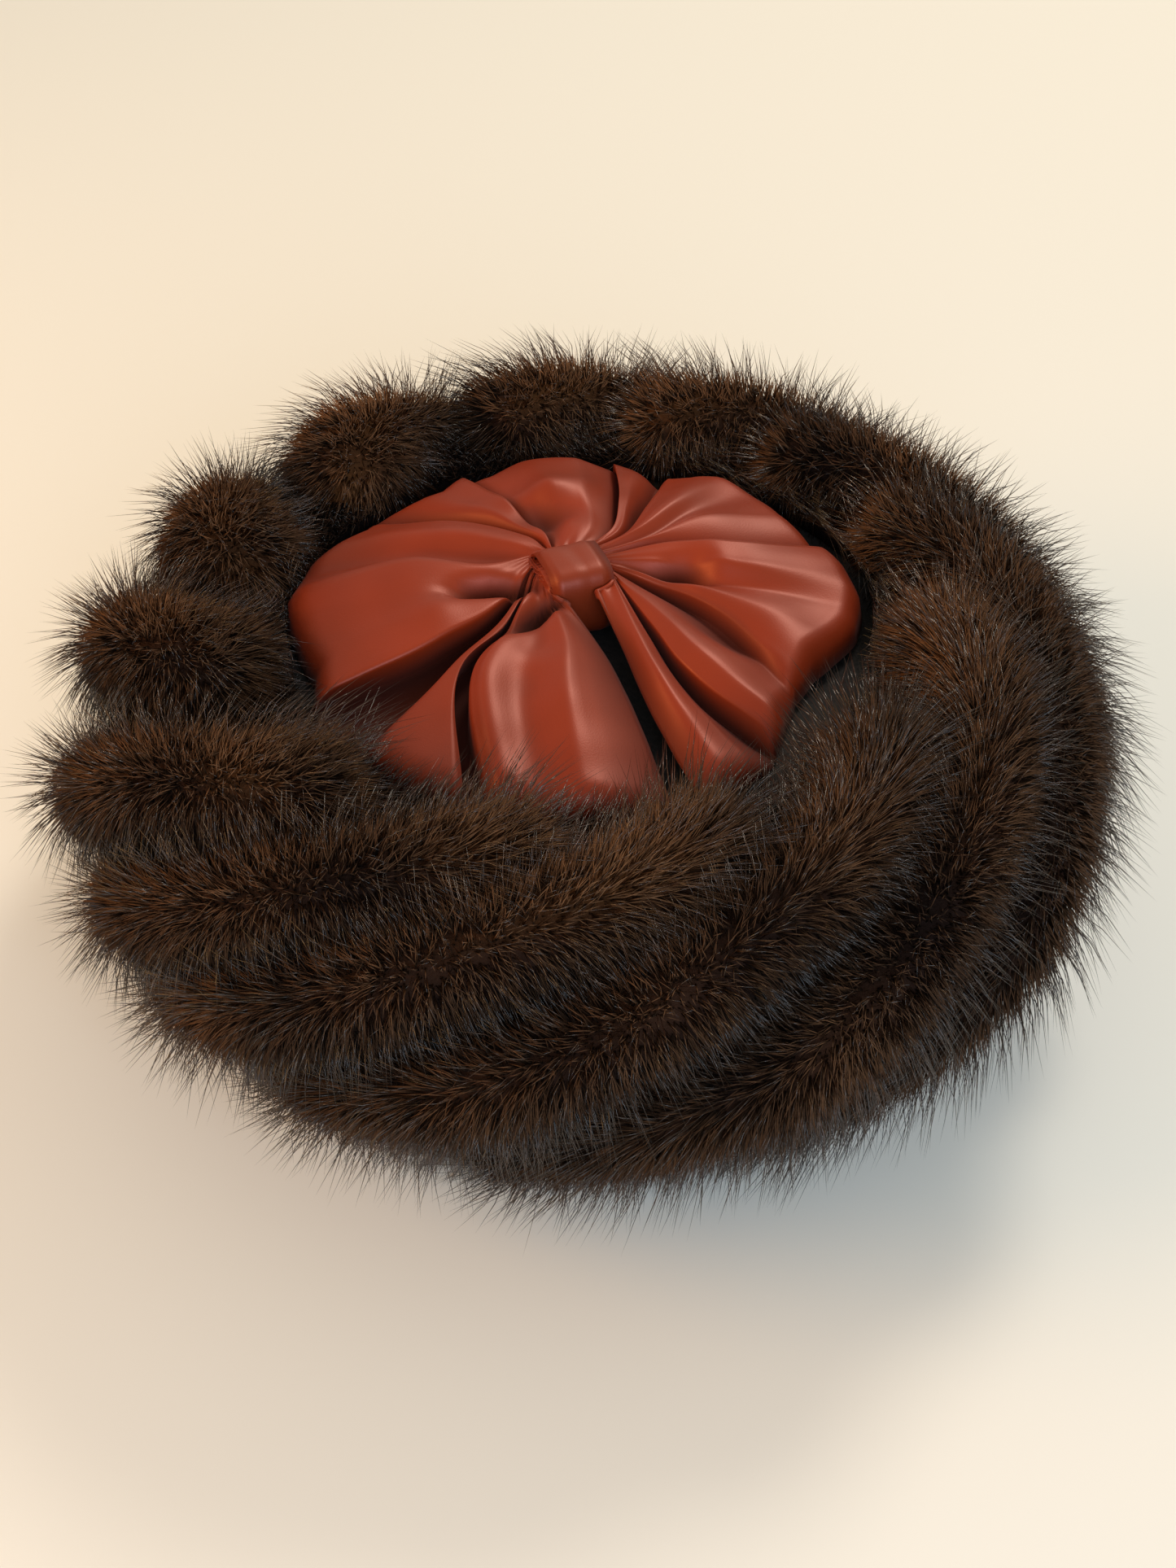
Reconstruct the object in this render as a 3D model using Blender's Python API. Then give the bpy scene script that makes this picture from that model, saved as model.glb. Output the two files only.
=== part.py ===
# Fur pillbox hat with a gathered satin crown.
# Metres, +Z up. The hat stands on its lower edge, its front faces -Y.
# Azimuths are in degrees, counter-clockwise from +X seen from above.

import math

import bmesh
import bpy
import numpy as np

CM = 0.01
GAP = 0.0003
SEGMENTS = 60
SHARP_EDGE = 50.0

# Cap under the satin, turned about the crown's own centre
CROWN_BACK = 0.9 * CM
CAP_RADIUS = 9.0 * CM
CAP_TOP = 7.6 * CM
CAP_HEM = 0.4 * CM
CAP_WALL = 0.2 * CM
CAP_SHOULDER = 1.3 * CM
SHOULDER_STEPS = 3

# Room that the fur leaves above the cap for the satin
SATIN_ROOM_RADII = (7.35 * CM, 7.0 * CM)
ROOM_TOP = 12.0 * CM
ROOM_BELOW = 1.0 * CM

# Backing of the fur, one row for each corner of its section.
# lean 0 measures the radius from the band's centre, 1 from the crown's centre.
# columns: corner, radius cm, height cm, lean
BACKING_ROWS = (
    ("outer foot", 9.75, 0.0, 1.0),
    ("outer low", 10.2, 1.7, 0.5),
    ("belly", 11.3, 4.0, 0.0),
    ("flank", 11.4, 5.9, 0.0),
    ("shoulder", 10.6, 7.6, 0.0),
    ("crest", 9.5, 8.4, 0.5),
    ("rim top", 8.3, 8.5, 1.0),
    ("rim edge", 7.4, 8.2, 1.0),
    ("rim under", 7.2, 7.3, 1.0),
    ("inner wall", 8.6, 6.2, 1.0),
    ("inner foot", 8.6, 0.0, 1.0),
)

# Line of a roll's crest, from its blunt inner end down to its tapered lower end.
# columns: share of the roll's sweep, crest radius cm, crest height cm, share of the
# roll's full width and depth, lean
CREST_ROWS = (
    (0.00, 8.30, 9.20, 1.00, 1.0),
    (0.10, 9.20, 9.55, 1.00, 0.8),
    (0.22, 9.95, 9.60, 1.00, 0.5),
    (0.34, 10.70, 9.35, 1.00, 0.3),
    (0.45, 11.45, 8.70, 1.00, 0.0),
    (0.56, 12.20, 7.60, 1.00, 0.0),
    (0.70, 12.75, 5.90, 1.00, 0.0),
    (0.85, 12.10, 3.80, 0.85, 0.0),
    (1.00, 10.20, 1.35, 0.60, 0.0),
)
SECTION_CENTRE = (9.9, 5.0)
PATH_STEP = 0.01

# One row for each roll of fur.
# columns: name, azimuth of its inner end, sweep back to its lower end, width cm
ROLLS = (
    ("back right", 77, 72, 2.3),
    ("back", 105, 62, 2.6),
    ("back left", 136, 54, 3.0),
    ("left back", 168, 48, 3.1),
    ("left", 198, 50, 3.1),
    ("left front", 230, 58, 2.8),
    ("front left", 260, 70, 2.5),
    ("front", 286, 80, 2.5),
    ("front right", 318, 88, 2.4),
    ("right front", 350, 88, 2.6),
    ("right", 380, 84, 2.4),
    ("right back", 409, 78, 2.3),
)
RING_STEP = 6.0
ROLL_DEPTH = 1.45 * CM
ROLL_SIDES = 10
END_RINGS = 2
END_REACH = 0.9 * CM
LAST_END_RING = 75.0
ROLL_BACK = 0.90 * CM
LOCK_LENGTH = 0.35 * CM
LOCK_LEAN = 0.30 * CM
LOCK_FACING = 0.45
LOWEST_LOCK = 0.05 * CM

# Satin bow, gathered at the knot
KNOT_CENTRE = np.array((0.0, 1.5)) * CM
COLLAR_RADII = np.array((1.16, 1.02)) * CM
COLLAR_SQUARENESS = 5.0
COLLAR_SPREAD = 0.25
COLLAR_ROWS = 2
ROOT_SPREAD = 26.0
ROOT_HEIGHT = 8.60 * CM
COLLAR_HEIGHT = 8.75 * CM
ROOT_ARCH = 0.30 * CM
WAIST_ROWS = 2
RIM_HEIGHT = 7.95 * CM
RIM_DROP = 0.22 * CM
DROP_START = 0.85
SATIN_WALL = 0.12 * CM
SATIN_EDGE_RADII = np.array((7.28, 6.93)) * CM
FAN_ROWS = 7
FAN_COLUMNS = 44
DOME_POWER = 1.6
CREST_POWER = 0.7
CREST_AT_KNOT = 0.30
CREST_GROWTH = 0.85
CREST_FULL = 0.72

# Valleys between the pleats of each fan, from the back gap to the front gap.
# columns: azimuth at the knot, azimuth halfway, azimuth at the rim, height cm of
# the pleat that follows
LEFT_PLEATS = (
    (78, 88, 92, 0.65),
    (122, 124, 124, 0.60),
    (138, 143, 149, 0.75),
    (152, 170, 187, 1.10),
    (178, 212, 224, 0.90),
    (205, 232, 252, 1.00),
    (262, 280, 285, 0.00),
)
RIGHT_PLEATS = (
    (66, 76, 80, 0.55),
    (52, 58, 62, 0.75),
    (36, 30, 12, 1.10),
    (10, -26, -34, 0.75),
    (-8, -48, -55, 0.80),
    (-57, -69, -71, 0.00),
)

# Outline of the satin seen from above.
# columns: azimuth, distance from the knot's centre cm
SATIN_OUTLINE = (
    (-90, 7.2), (-71, 7.2), (-54, 7.2), (-46, 6.8), (-34, 6.6), (-22, 6.6), (-6, 7.0),
    (8, 7.1), (14, 6.1), (40, 6.5), (54, 6.3), (63, 5.6), (72, 6.0), (93, 6.4),
    (122, 5.9), (140, 6.1), (158, 6.7), (174, 7.3), (187, 7.3), (194, 7.0), (212, 7.2),
    (224, 7.5), (252, 7.5), (290, 7.2),
)

# Knot band round the waist
KNOT_WIDTH = 1.9 * CM
KNOT_DEPTH = 1.5 * CM
KNOT_WALL = 0.15 * CM
KNOT_TURN = -12.0
KNOT_TOP = 9.62 * CM
KNOT_BOTTOM = 7.64 * CM
KNOT_SIDES = 20
KNOT_SQUARENESS = 3.2

# Colours from the photo: linear colour, roughness
FINISHES = {
    "fur": ((0.035, 0.016, 0.009), 0.75),
    "cap_cloth": ((0.012, 0.010, 0.010), 0.90),
    "satin": ((0.36, 0.075, 0.032), 0.38),
    "knot_satin": ((0.30, 0.060, 0.028), 0.40),
}


def clear_scene():
    for item in list(bpy.data.objects):
        bpy.data.objects.remove(item, do_unlink=True)


def make_material(name):
    colour, roughness = FINISHES[name]
    material = bpy.data.materials.new(name)
    material.use_nodes = True
    shader = material.node_tree.nodes["Principled BSDF"]
    shader.inputs["Base Color"].default_value = (*colour, 1.0)
    shader.inputs["Roughness"].default_value = roughness
    shader.inputs["Metallic"].default_value = 0.0
    return material


def place_mesh(name, bm, material=None):
    """Turn a bmesh into a named object, shaded smooth, its faces pointing outwards."""
    bmesh.ops.triangulate(bm, faces=bm.faces)
    bmesh.ops.recalc_face_normals(bm, faces=bm.faces)
    mesh = bpy.data.meshes.new(name)
    bm.to_mesh(mesh)
    bm.free()
    mesh.shade_smooth()
    mesh.set_sharp_from_angle(angle=math.radians(SHARP_EDGE))
    item = bpy.data.objects.new(name, mesh)
    bpy.context.collection.objects.link(item)
    if material:
        mesh.materials.append(material)
    return item


def loft(name, loops, closed, material=None):
    """Skin loops of equal length into one closed body, open runs get flat ends."""
    bm = bmesh.new()
    rings = [[bm.verts.new(point) for point in loop] for loop in loops]
    sides = len(rings[0])
    pairs = list(zip(rings, rings[1:]))
    if closed:
        pairs.append((rings[-1], rings[0]))
    for first, second in pairs:
        for side in range(sides):
            after = (side + 1) % sides
            bm.faces.new((first[side], first[after], second[after], second[side]))
    if not closed:
        bm.faces.new(rings[0])
        bm.faces.new(rings[-1])
    return place_mesh(name, bm, material)


def stack(name, rings, material=None):
    """Stack (radius across, radius deep, height) rings about the crown's centre
    line into a solid with a flat face at its first and last ring."""
    angles = [2 * math.pi * step / SEGMENTS for step in range(SEGMENTS)]
    loops = [
        [(across * math.cos(a), CROWN_BACK + deep * math.sin(a), height) for a in angles]
        for across, deep, height in rings
    ]
    return loft(name, loops, False, material)


def table_value(rows, column, share):
    """Read a column of a table at a share given in its first column."""
    shares = [row[0] for row in rows]
    return np.interp(share, shares, [row[column] for row in rows])


def shoulder_arc(offset):
    """Rounded shoulder of the cap, from its side wall to its flat top."""
    rings = []
    for angle in np.linspace(0.0, math.pi / 2, SHOULDER_STEPS + 1):
        radius = CAP_RADIUS - CAP_SHOULDER + (CAP_SHOULDER + offset) * math.cos(angle)
        height = CAP_TOP - CAP_SHOULDER + (CAP_SHOULDER + offset) * math.sin(angle)
        rings.append((radius, radius, height))
    return rings


def make_cap():
    """Cloth cap: side wall, rounded shoulder and flat top, open below."""
    inner = CAP_RADIUS - CAP_WALL
    outside = [(CAP_RADIUS, CAP_RADIUS, CAP_HEM)] + shoulder_arc(0.0)
    inside = [(inner, inner, CAP_HEM)] + shoulder_arc(-CAP_WALL)
    return stack("crown_cap", outside[::-1] + inside, make_material("cap_cloth"))


def make_crown_room():
    """Space that the fur keeps clear: the cap, and the satin above it."""
    clear = GAP / math.cos(math.pi / SEGMENTS)
    side = [(CAP_RADIUS + clear, CAP_RADIUS + clear, -ROOM_BELOW)] + shoulder_arc(clear)
    above = [(*SATIN_ROOM_RADII, CAP_TOP + clear), (*SATIN_ROOM_RADII, ROOM_TOP)]
    return stack("crown_room", side + above)


def make_backing():
    """Ring that carries the rolls, its section leaning with the crown's centre."""
    loops = []
    for step in range(SEGMENTS):
        angle = 2 * math.pi * step / SEGMENTS
        loops.append([
            (
                radius * CM * math.cos(angle),
                CROWN_BACK * lean + radius * CM * math.sin(angle),
                height * CM,
            )
            for corner, radius, height, lean in BACKING_ROWS
        ])
    return loft("fur_band", loops, True, make_material("fur"))


def crest_point(inner_end, sweep, share):
    """Crest of a roll at a share of its sweep, and the way out of the band there."""
    azimuth = math.radians(inner_end - sweep * share)
    radius = table_value(CREST_ROWS, 1, share)
    height = table_value(CREST_ROWS, 2, share)
    lean = table_value(CREST_ROWS, 4, share)
    heading = np.array((math.cos(azimuth), math.sin(azimuth), 0.0))
    crest = heading * radius * CM
    crest += np.array((0.0, CROWN_BACK * lean, height * CM))
    outward = heading * (radius - SECTION_CENTRE[0])
    outward[2] = height - SECTION_CENTRE[1]
    return crest, outward / np.linalg.norm(outward)


def roll_ring(inner_end, sweep, share, half_width, reach, ring):
    """Corners of one ring of a roll, every second corner drawn out into a lock.
    reach is 0 along the roll and nears 1 towards the tip of its rounded end."""
    crest, outward = crest_point(inner_end, sweep, share)
    inner = crest_point(inner_end, sweep, max(share - PATH_STEP, 0.0))[0]
    lower = crest_point(inner_end, sweep, min(share + PATH_STEP, 1.0))[0]
    ahead = (inner - lower) / np.linalg.norm(inner - lower)
    outward = outward - ahead * outward.dot(ahead)
    outward /= np.linalg.norm(outward)
    across = np.cross(ahead, outward)
    full = table_value(CREST_ROWS, 3, share)
    thin = full * math.sqrt(1.0 - reach * reach)
    centre = crest - outward * ROLL_DEPTH * full + ahead * END_REACH * reach
    corners = []
    for side in range(ROLL_SIDES):
        angle = 2 * math.pi * side / ROLL_SIDES
        depth = ROLL_DEPTH if math.cos(angle) > 0.0 else ROLL_BACK
        away = outward * depth * math.cos(angle) + across * half_width * math.sin(angle)
        corner = centre + away * thin
        if (ring + side) % 2 == 0:
            facing = max(0.0, (math.cos(angle) + LOCK_FACING) / (1.0 + LOCK_FACING))
            away /= np.linalg.norm(away)
            corner = corner + (away * LOCK_LENGTH + ahead * LOCK_LEAN) * facing * thin
        corner[2] = max(corner[2], LOWEST_LOCK)
        corners.append(tuple(corner))
    return corners


def make_roll(name, inner_end, sweep, width):
    """Plump tapered roll of fur, its inner end rounded."""
    half_width = width / 2 * CM
    loops = []
    for step in range(END_RINGS, 0, -1):
        reach = math.sin(math.radians(LAST_END_RING * step / END_RINGS))
        loops.append(roll_ring(inner_end, sweep, 0.0, half_width, reach, len(loops)))
    rings = round(sweep / RING_STEP)
    for step in range(rings + 1):
        loops.append(roll_ring(inner_end, sweep, step / rings, half_width, 0.0, len(loops)))
    return loft("roll_" + name.replace(" ", "_"), loops, False)


def add_boolean(item, tool, operation):
    modifier = item.modifiers.new(tool.name, "BOOLEAN")
    modifier.operation = operation
    modifier.solver = "EXACT"
    modifier.object = tool
    tool.hide_render = True
    tool.display_type = "WIRE"


def make_fur_band():
    band = make_backing()
    for name, inner_end, sweep, width in ROLLS:
        add_boolean(band, make_roll(name, inner_end, sweep, width), "UNION")
    add_boolean(band, make_crown_room(), "DIFFERENCE")
    return band


def squared_reach(angle, radii, squareness):
    """Distance from the centre to a rounded rectangle in the direction of an angle."""
    x = abs(math.cos(angle) / radii[0]) ** squareness
    y = abs(math.sin(angle) / radii[1]) ** squareness
    return (x + y) ** (-1 / squareness)


def around_knot(azimuth, spread):
    """Point on the rounded rectangle that the satin keeps round the knot."""
    turn = math.radians(azimuth)
    reach = squared_reach(turn - math.radians(KNOT_TURN), COLLAR_RADII, COLLAR_SQUARENESS)
    return KNOT_CENTRE + spread * reach * np.array((math.cos(turn), math.sin(turn)))


def pleat_values(pleats, along):
    """Azimuths at the knot, halfway and at the rim, and the crest's shape, 0 to 1,
    for a column that counts pleats from the back gap."""
    number = min(int(along), len(pleats) - 2)
    part = along - number
    azimuths = [
        (1 - part) * pleats[number][column] + part * pleats[number + 1][column]
        for column in range(3)
    ]
    crest = max(0.0, math.sin(math.pi * part)) ** CREST_POWER * pleats[number][3] * CM
    return azimuths, crest


def collar_point(pleats, along, share):
    """Satin beside the knot: share 0 on the waist's end, 1 where the fan opens."""
    azimuths, crest = pleat_values(pleats, along)
    whole = along / (len(pleats) - 1)
    root = ROOT_SPREAD * (1 - 2 * whole) + KNOT_TURN
    if pleats is LEFT_PLEATS:
        root = 180 - ROOT_SPREAD * (1 - 2 * whole) + KNOT_TURN
    azimuth = root + (azimuths[0] - root) * share
    flat = around_knot(azimuth, 1 + COLLAR_SPREAD * share)
    base = ROOT_HEIGHT + (COLLAR_HEIGHT - ROOT_HEIGHT) * share
    arch = ROOT_ARCH * math.sin(math.pi * whole) * (1 - share)
    return np.array((flat[0], flat[1], base + arch + crest * CREST_AT_KNOT * share))


def fan_point(pleats, along, share):
    """Satin between the knot and the rim: share 0 at the collar, 1 at the rim."""
    azimuths, crest = pleat_values(pleats, along)
    knot, middle, rim = azimuths
    bow = middle - (knot + rim) / 2
    azimuth = knot + (rim - knot) * share + bow * 4 * share * (1 - share)
    outline = np.interp(rim, [row[0] for row in SATIN_OUTLINE], [row[1] for row in SATIN_OUTLINE])
    turn = math.radians(azimuth)
    tip = KNOT_CENTRE + outline * CM * np.array((math.cos(turn), math.sin(turn)))
    root = around_knot(azimuth, 1 + COLLAR_SPREAD)
    flat = root + (tip - root) * share
    from_crown = flat - np.array((0.0, CROWN_BACK))
    reach = np.linalg.norm(from_crown / SATIN_EDGE_RADII)
    if reach > 1.0:
        flat = flat - from_crown * (1 - 1 / reach)
    swell = CREST_AT_KNOT + CREST_GROWTH * math.sin(math.pi / 2 * min(share / CREST_FULL, 1.0))
    dome = RIM_HEIGHT + (COLLAR_HEIGHT - RIM_HEIGHT) * (1 - share) ** DOME_POWER
    drop = RIM_DROP * max(0.0, (share - DROP_START) / (1 - DROP_START)) ** 2
    return np.array((flat[0], flat[1], dome + crest * swell - drop))


def fan_rows(pleats):
    """Rows of the fan's points from the waist's end out to the rim."""
    last = len(pleats) - 1
    counts = [last * column / FAN_COLUMNS for column in range(FAN_COLUMNS + 1)]
    rows = [
        [collar_point(pleats, along, step / COLLAR_ROWS) for along in counts]
        for step in range(COLLAR_ROWS)
    ]
    rows += [
        [fan_point(pleats, along, step / FAN_ROWS) for along in counts]
        for step in range(FAN_ROWS + 1)
    ]
    return rows


def make_satin_bow():
    """Gathered sheet: left fan, waist under the knot, right fan."""
    left = fan_rows(LEFT_PLEATS)
    right = fan_rows(RIGHT_PLEATS)
    parts = [step / (WAIST_ROWS + 1) for step in range(1, WAIST_ROWS + 1)]
    waist = [
        [(1 - part) * first + part * second for first, second in zip(left[0], right[0])]
        for part in parts
    ]
    rows = left[::-1] + waist + right

    bm = bmesh.new()
    grid = [[bm.verts.new(point) for point in row] for row in rows]
    for first, second in zip(grid, grid[1:]):
        for column in range(FAN_COLUMNS):
            bm.faces.new((first[column], first[column + 1], second[column + 1], second[column]))
    upper = bmesh.ops.extrude_face_region(bm, geom=bm.faces[:])
    lifted = [part for part in upper["geom"] if isinstance(part, bmesh.types.BMVert)]
    bmesh.ops.translate(bm, verts=lifted, vec=(0.0, 0.0, SATIN_WALL))
    return place_mesh("satin_bow", bm, make_material("satin"))


def make_knot_band():
    """Closed satin loop of rounded rectangular outline, its width along the waist."""
    middle = (KNOT_TOP + KNOT_BOTTOM) / 2
    half = np.array((KNOT_DEPTH, KNOT_TOP - KNOT_BOTTOM)) / 2
    turn = math.radians(KNOT_TURN)
    along = np.array((math.cos(turn), math.sin(turn)))
    across = np.array((-along[1], along[0]))
    ends = (-KNOT_WIDTH / 2, KNOT_WIDTH / 2)
    loops = []
    for side in range(KNOT_SIDES):
        angle = 2 * math.pi * side / KNOT_SIDES
        loop = []
        for inset, stations in ((0.0, ends), (KNOT_WALL, ends[::-1])):
            reach = squared_reach(angle, half - inset, KNOT_SQUARENESS)
            depth = reach * math.cos(angle)
            height = middle + reach * math.sin(angle)
            for station in stations:
                flat = KNOT_CENTRE + along * station + across * depth
                loop.append((flat[0], flat[1], height))
        loops.append(loop)
    return loft("knot_band", loops, True, make_material("knot_satin"))


def centre_on_footprint(band):
    """Parent all pieces to one empty, and move it until the fur, the widest piece,
    is centred over the origin."""
    hat = bpy.data.objects.new("hat", None)
    bpy.context.collection.objects.link(hat)
    for item in list(bpy.data.objects):
        if item is not hat:
            item.parent = hat
    bpy.context.view_layer.update()
    shape = band.evaluated_get(bpy.context.evaluated_depsgraph_get())
    corners = np.array([tuple(corner) for corner in shape.bound_box])
    middle = (corners.min(axis=0) + corners.max(axis=0)) / 2
    hat.location = (-middle[0], -middle[1], 0.0)
    bpy.context.view_layer.update()


def main():
    clear_scene()
    band = make_fur_band()
    make_cap()
    make_satin_bow()
    make_knot_band()
    centre_on_footprint(band)


main()
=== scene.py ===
import math

import bpy
import numpy as np
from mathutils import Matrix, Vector


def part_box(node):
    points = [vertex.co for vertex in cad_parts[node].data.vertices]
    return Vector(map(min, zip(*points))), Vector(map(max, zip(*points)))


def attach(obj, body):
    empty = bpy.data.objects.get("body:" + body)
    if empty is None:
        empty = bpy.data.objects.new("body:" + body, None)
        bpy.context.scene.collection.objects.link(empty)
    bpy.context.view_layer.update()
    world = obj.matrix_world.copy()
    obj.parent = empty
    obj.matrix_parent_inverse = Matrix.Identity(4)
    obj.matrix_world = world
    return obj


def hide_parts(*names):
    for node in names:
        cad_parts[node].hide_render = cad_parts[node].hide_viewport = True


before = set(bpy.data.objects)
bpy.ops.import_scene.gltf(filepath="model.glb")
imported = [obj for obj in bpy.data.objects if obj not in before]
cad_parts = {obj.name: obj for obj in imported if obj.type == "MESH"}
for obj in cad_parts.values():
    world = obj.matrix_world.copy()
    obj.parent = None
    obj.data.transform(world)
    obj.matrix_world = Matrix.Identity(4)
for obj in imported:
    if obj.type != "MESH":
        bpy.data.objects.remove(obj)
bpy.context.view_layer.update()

cm = 0.01

# The pieces are worked out in centimetres about the middle of the fur band,
# which lies this far in front of the crown's own middle.
crownBack = 0.9
crownMiddle = np.array([0, crownBack])
crownRadii = np.array((7.30, 6.95))  # half the width and depth that the satin's rim may have
capLow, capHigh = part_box("crown_cap")
bandMiddle = np.array([
    (capLow.x + capHigh.x) / 2,
    (capLow.y + capHigh.y) / 2 - crownBack * cm,
    0.0,
])


def toFrame(points):
    # centimetres about the band's middle to the frame's metres: times cm, plus the middle
    return np.asarray(points) * cm + bandMiddle


def unit(vectors):
    # each vector over its own length
    return vectors / np.maximum(np.linalg.norm(vectors, axis=-1, keepdims=True), 1e-9)


def dot(first, second):
    # sum of the products along the last axis, kept as a column
    return (first * second).sum(-1, keepdims=True)


def bell(at, reach):
    # 1 at zero, falling off as e to the minus square of at over reach
    return np.exp(-((at / reach) ** 2))


def ease(at, start, over):
    # 0 up to start, 1 from start plus over, straight between
    return np.clip((at - start) / over, 0, 1)


def gridQuads(rows, columns, closeRows=False, closeColumns=False):
    # quads between neighbours of a rows by columns grid of point numbers
    number = np.arange(rows * columns).reshape(rows, columns)
    if closeRows:
        number = np.vstack([number, number[:1]])
    if closeColumns:
        number = np.hstack([number, number[:, :1]])
    corners = (number[:-1, :-1], number[:-1, 1:], number[1:, 1:], number[1:, :-1])
    return np.stack(corners, -1).reshape(-1, 4)


def oneRow(values, kind):
    # all values of an array in one row, as numbers of a kind
    return np.ascontiguousarray(values, dtype=kind).ravel()


def meshPiece(name, points, faces, material, pointUv=None, uvName="cloth"):
    # one object from an array of points in metres and one array of equal faces
    corners = oneRow(faces, np.int32)
    mesh = bpy.data.meshes.new(name)
    mesh.vertices.add(len(points))
    mesh.vertices.foreach_set("co", oneRow(points, np.float32))
    mesh.loops.add(faces.size)
    mesh.loops.foreach_set("vertex_index", corners)
    mesh.polygons.add(len(faces))
    starts = np.arange(len(faces), dtype=np.int32) * faces.shape[1]
    mesh.polygons.foreach_set("loop_start", starts)
    mesh.update(calc_edges=True)
    mesh.polygons.foreach_set("use_smooth", np.ones(len(faces), dtype=bool))
    if pointUv is not None:
        layer = mesh.uv_layers.new(name=uvName)
        layer.uv.foreach_set("vector", oneRow(pointUv[corners], np.float32))
    mesh.materials.append(material)
    mesh.update()
    piece = bpy.data.objects.new(name, mesh)
    bpy.context.scene.collection.objects.link(piece)
    return piece


def smoothRead(stations, values, at):
    # cubic through the stations, its slope at each taken from the two neighbours
    stations = np.asarray(stations, float)
    values = np.asarray(values, float)
    slope = np.gradient(values, stations, axis=-1)
    spot = np.clip(np.searchsorted(stations, at, side="right") - 1, 0, len(stations) - 2)
    width = stations[spot + 1] - stations[spot]
    part = (at - stations[spot]) / width
    first, second = values[..., spot], values[..., spot + 1]
    return (
        first * (2 * part**3 - 3 * part**2 + 1)
        + second * (3 * part**2 - 2 * part**3)
        + slope[..., spot] * width * (part**3 - 2 * part**2 + part)
        + slope[..., spot + 1] * width * (part**3 - part**2)
    )


def newMaterial(name):
    # an empty material, its tree and the shader in it
    material = bpy.data.materials.new(name)
    material.use_nodes = True
    tree = material.node_tree
    return material, tree, tree.nodes["Principled BSDF"]


def addNode(tree, kind, **settings):
    # one node; a setting goes to the input of its name, or else to the node itself
    node = tree.nodes.new(kind)
    for key, value in settings.items():
        if key in node.inputs:
            node.inputs[key].default_value = value
        else:
            setattr(node, key, value)
    return node


def setInputs(node, values):
    # each value goes to the input of its name or number
    for key, value in values.items():
        node.inputs[key].default_value = value


def joinNodes(tree, *links):
    # a link for each row of node, its output, other node, its input
    for node, output, other, entry in links:
        tree.links.new(node.outputs[output], other.inputs[entry])


def addRamp(tree, stops):
    # a colour ramp with these stops alone, each a place and its colour
    node = addNode(tree, "ShaderNodeValToRGB")
    ramp = node.color_ramp
    while len(ramp.elements) > 1:
        ramp.elements.remove(ramp.elements[-1])
    ramp.elements[0].position = stops[0][0]
    ramp.elements[0].color = (*stops[0][1], 1)
    for place, colour in stops[1:]:
        ramp.elements.new(place).color = (*colour, 1)
    return node


def addRelief(tree, shader, scale, detail, strength, distance):
    # fine noise over the piece's own coordinates, raised by bump
    place = addNode(tree, "ShaderNodeTexCoord")
    noise = addNode(tree, "ShaderNodeTexNoise", Scale=scale, Detail=detail)
    bump = addNode(tree, "ShaderNodeBump", Strength=strength, Distance=distance)
    joinNodes(
        tree,
        (place, "Object", noise, "Vector"), (noise, "Fac", bump, "Height"),
        (bump, "Normal", shader, "Normal"),
    )
    return place, noise


# lengths in cm
furBand = {
    "rollDepth": 1.55,  # a roll's middle to its crest
    "rollBack": 0.90,  # and to its back
    "endReach": 0.9,  # how far its rounded ends run on
    "sectionCentre": (9.9, 5.0),  # radius and height that the rolls face away from
    "frontShift": 0.45,  # how far the inner ends lie out at the front
    "rightShift": 0.5,  # and in at the right
    "shiftReach": 0.15,  # share of the sweep in which that falls off
    "innerSwell": 0.36,  # how much fuller a roll is at its inner end
    "swellReach": 0.26,
    "peltShare": 0.80,  # how much of the roll's full size the pelt under the hair has
    "coverShare": 0.95,  # how much of that covers the roots of its neighbours
    "ringReach": 0.6,  # how far along the roll a point may be from its nearest ring
    "comb": 0.95,  # how far the hair is swept away from a roll's crest
    "fan": 0.55,  # how far it leans to the nearer end of the roll
    "fanMiddle": 0.42,  # share of the sweep where it leans to neither
    "fanSoftness": 0.45,
    "droop": 0.42,
    "bend": (0.30, 0.12),  # how far a tip goes on with the sweep, and back to the pelt
    "lockSpread": 0.22,  # how far the tips of a lock stay apart
    "bareLength": 0.75,  # how long the hair on the bare backing is
    "tonePatch": 0.9,  # patches of amber to the centimetre
    "seed": 7,
    # thick is a hair's width at each ring, stray the scatter of its aim, pull how far it is
    # drawn into a lock, tone the least amber and what is added at most, v the map's root and tip
    "underfur": {
        "count": 108000, "length": (0.55, 0.95), "width": 0.042, "thick": (1.0,),
        "stray": 0.26, "perLock": 10, "pull": 0.40,
        "tone": (0.10, 0.95), "v": (0.02, 0.48), "gloss": 0.12,
    },
    "guardHair": {
        "count": 44000, "length": (1.10, 2.15), "width": 0.020, "thick": (0.75, 1.0),
        "stray": 0.20, "perLock": 9, "pull": 0.50,
        "tone": (0.07, 0.65), "v": (0.52, 0.98), "gloss": 0.55,
    },
}
hairKinds = ("underfur", "guardHair")
# where the hair may not go
hairRoom = {
    "floor": 0.05,
    "pressFrom": 10.2,  # what rises above this loses the share below
    "pressShare": 0.5,
    "besideSatin": 7.15,  # radius that it keeps beside the satin
    "rightLess": 0.4,  # and how much less at the right
    "frontFrom": 3.2,  # so far in front it begins to lie over the satin's rim instead
    "frontOver": 1.5,
    "rimRadii": (5.5, 6.3, 6.9, 7.1),
    "rimHeights": (9.4, 9.15, 8.9, 0),  # height that it keeps at those radii
}
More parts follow.
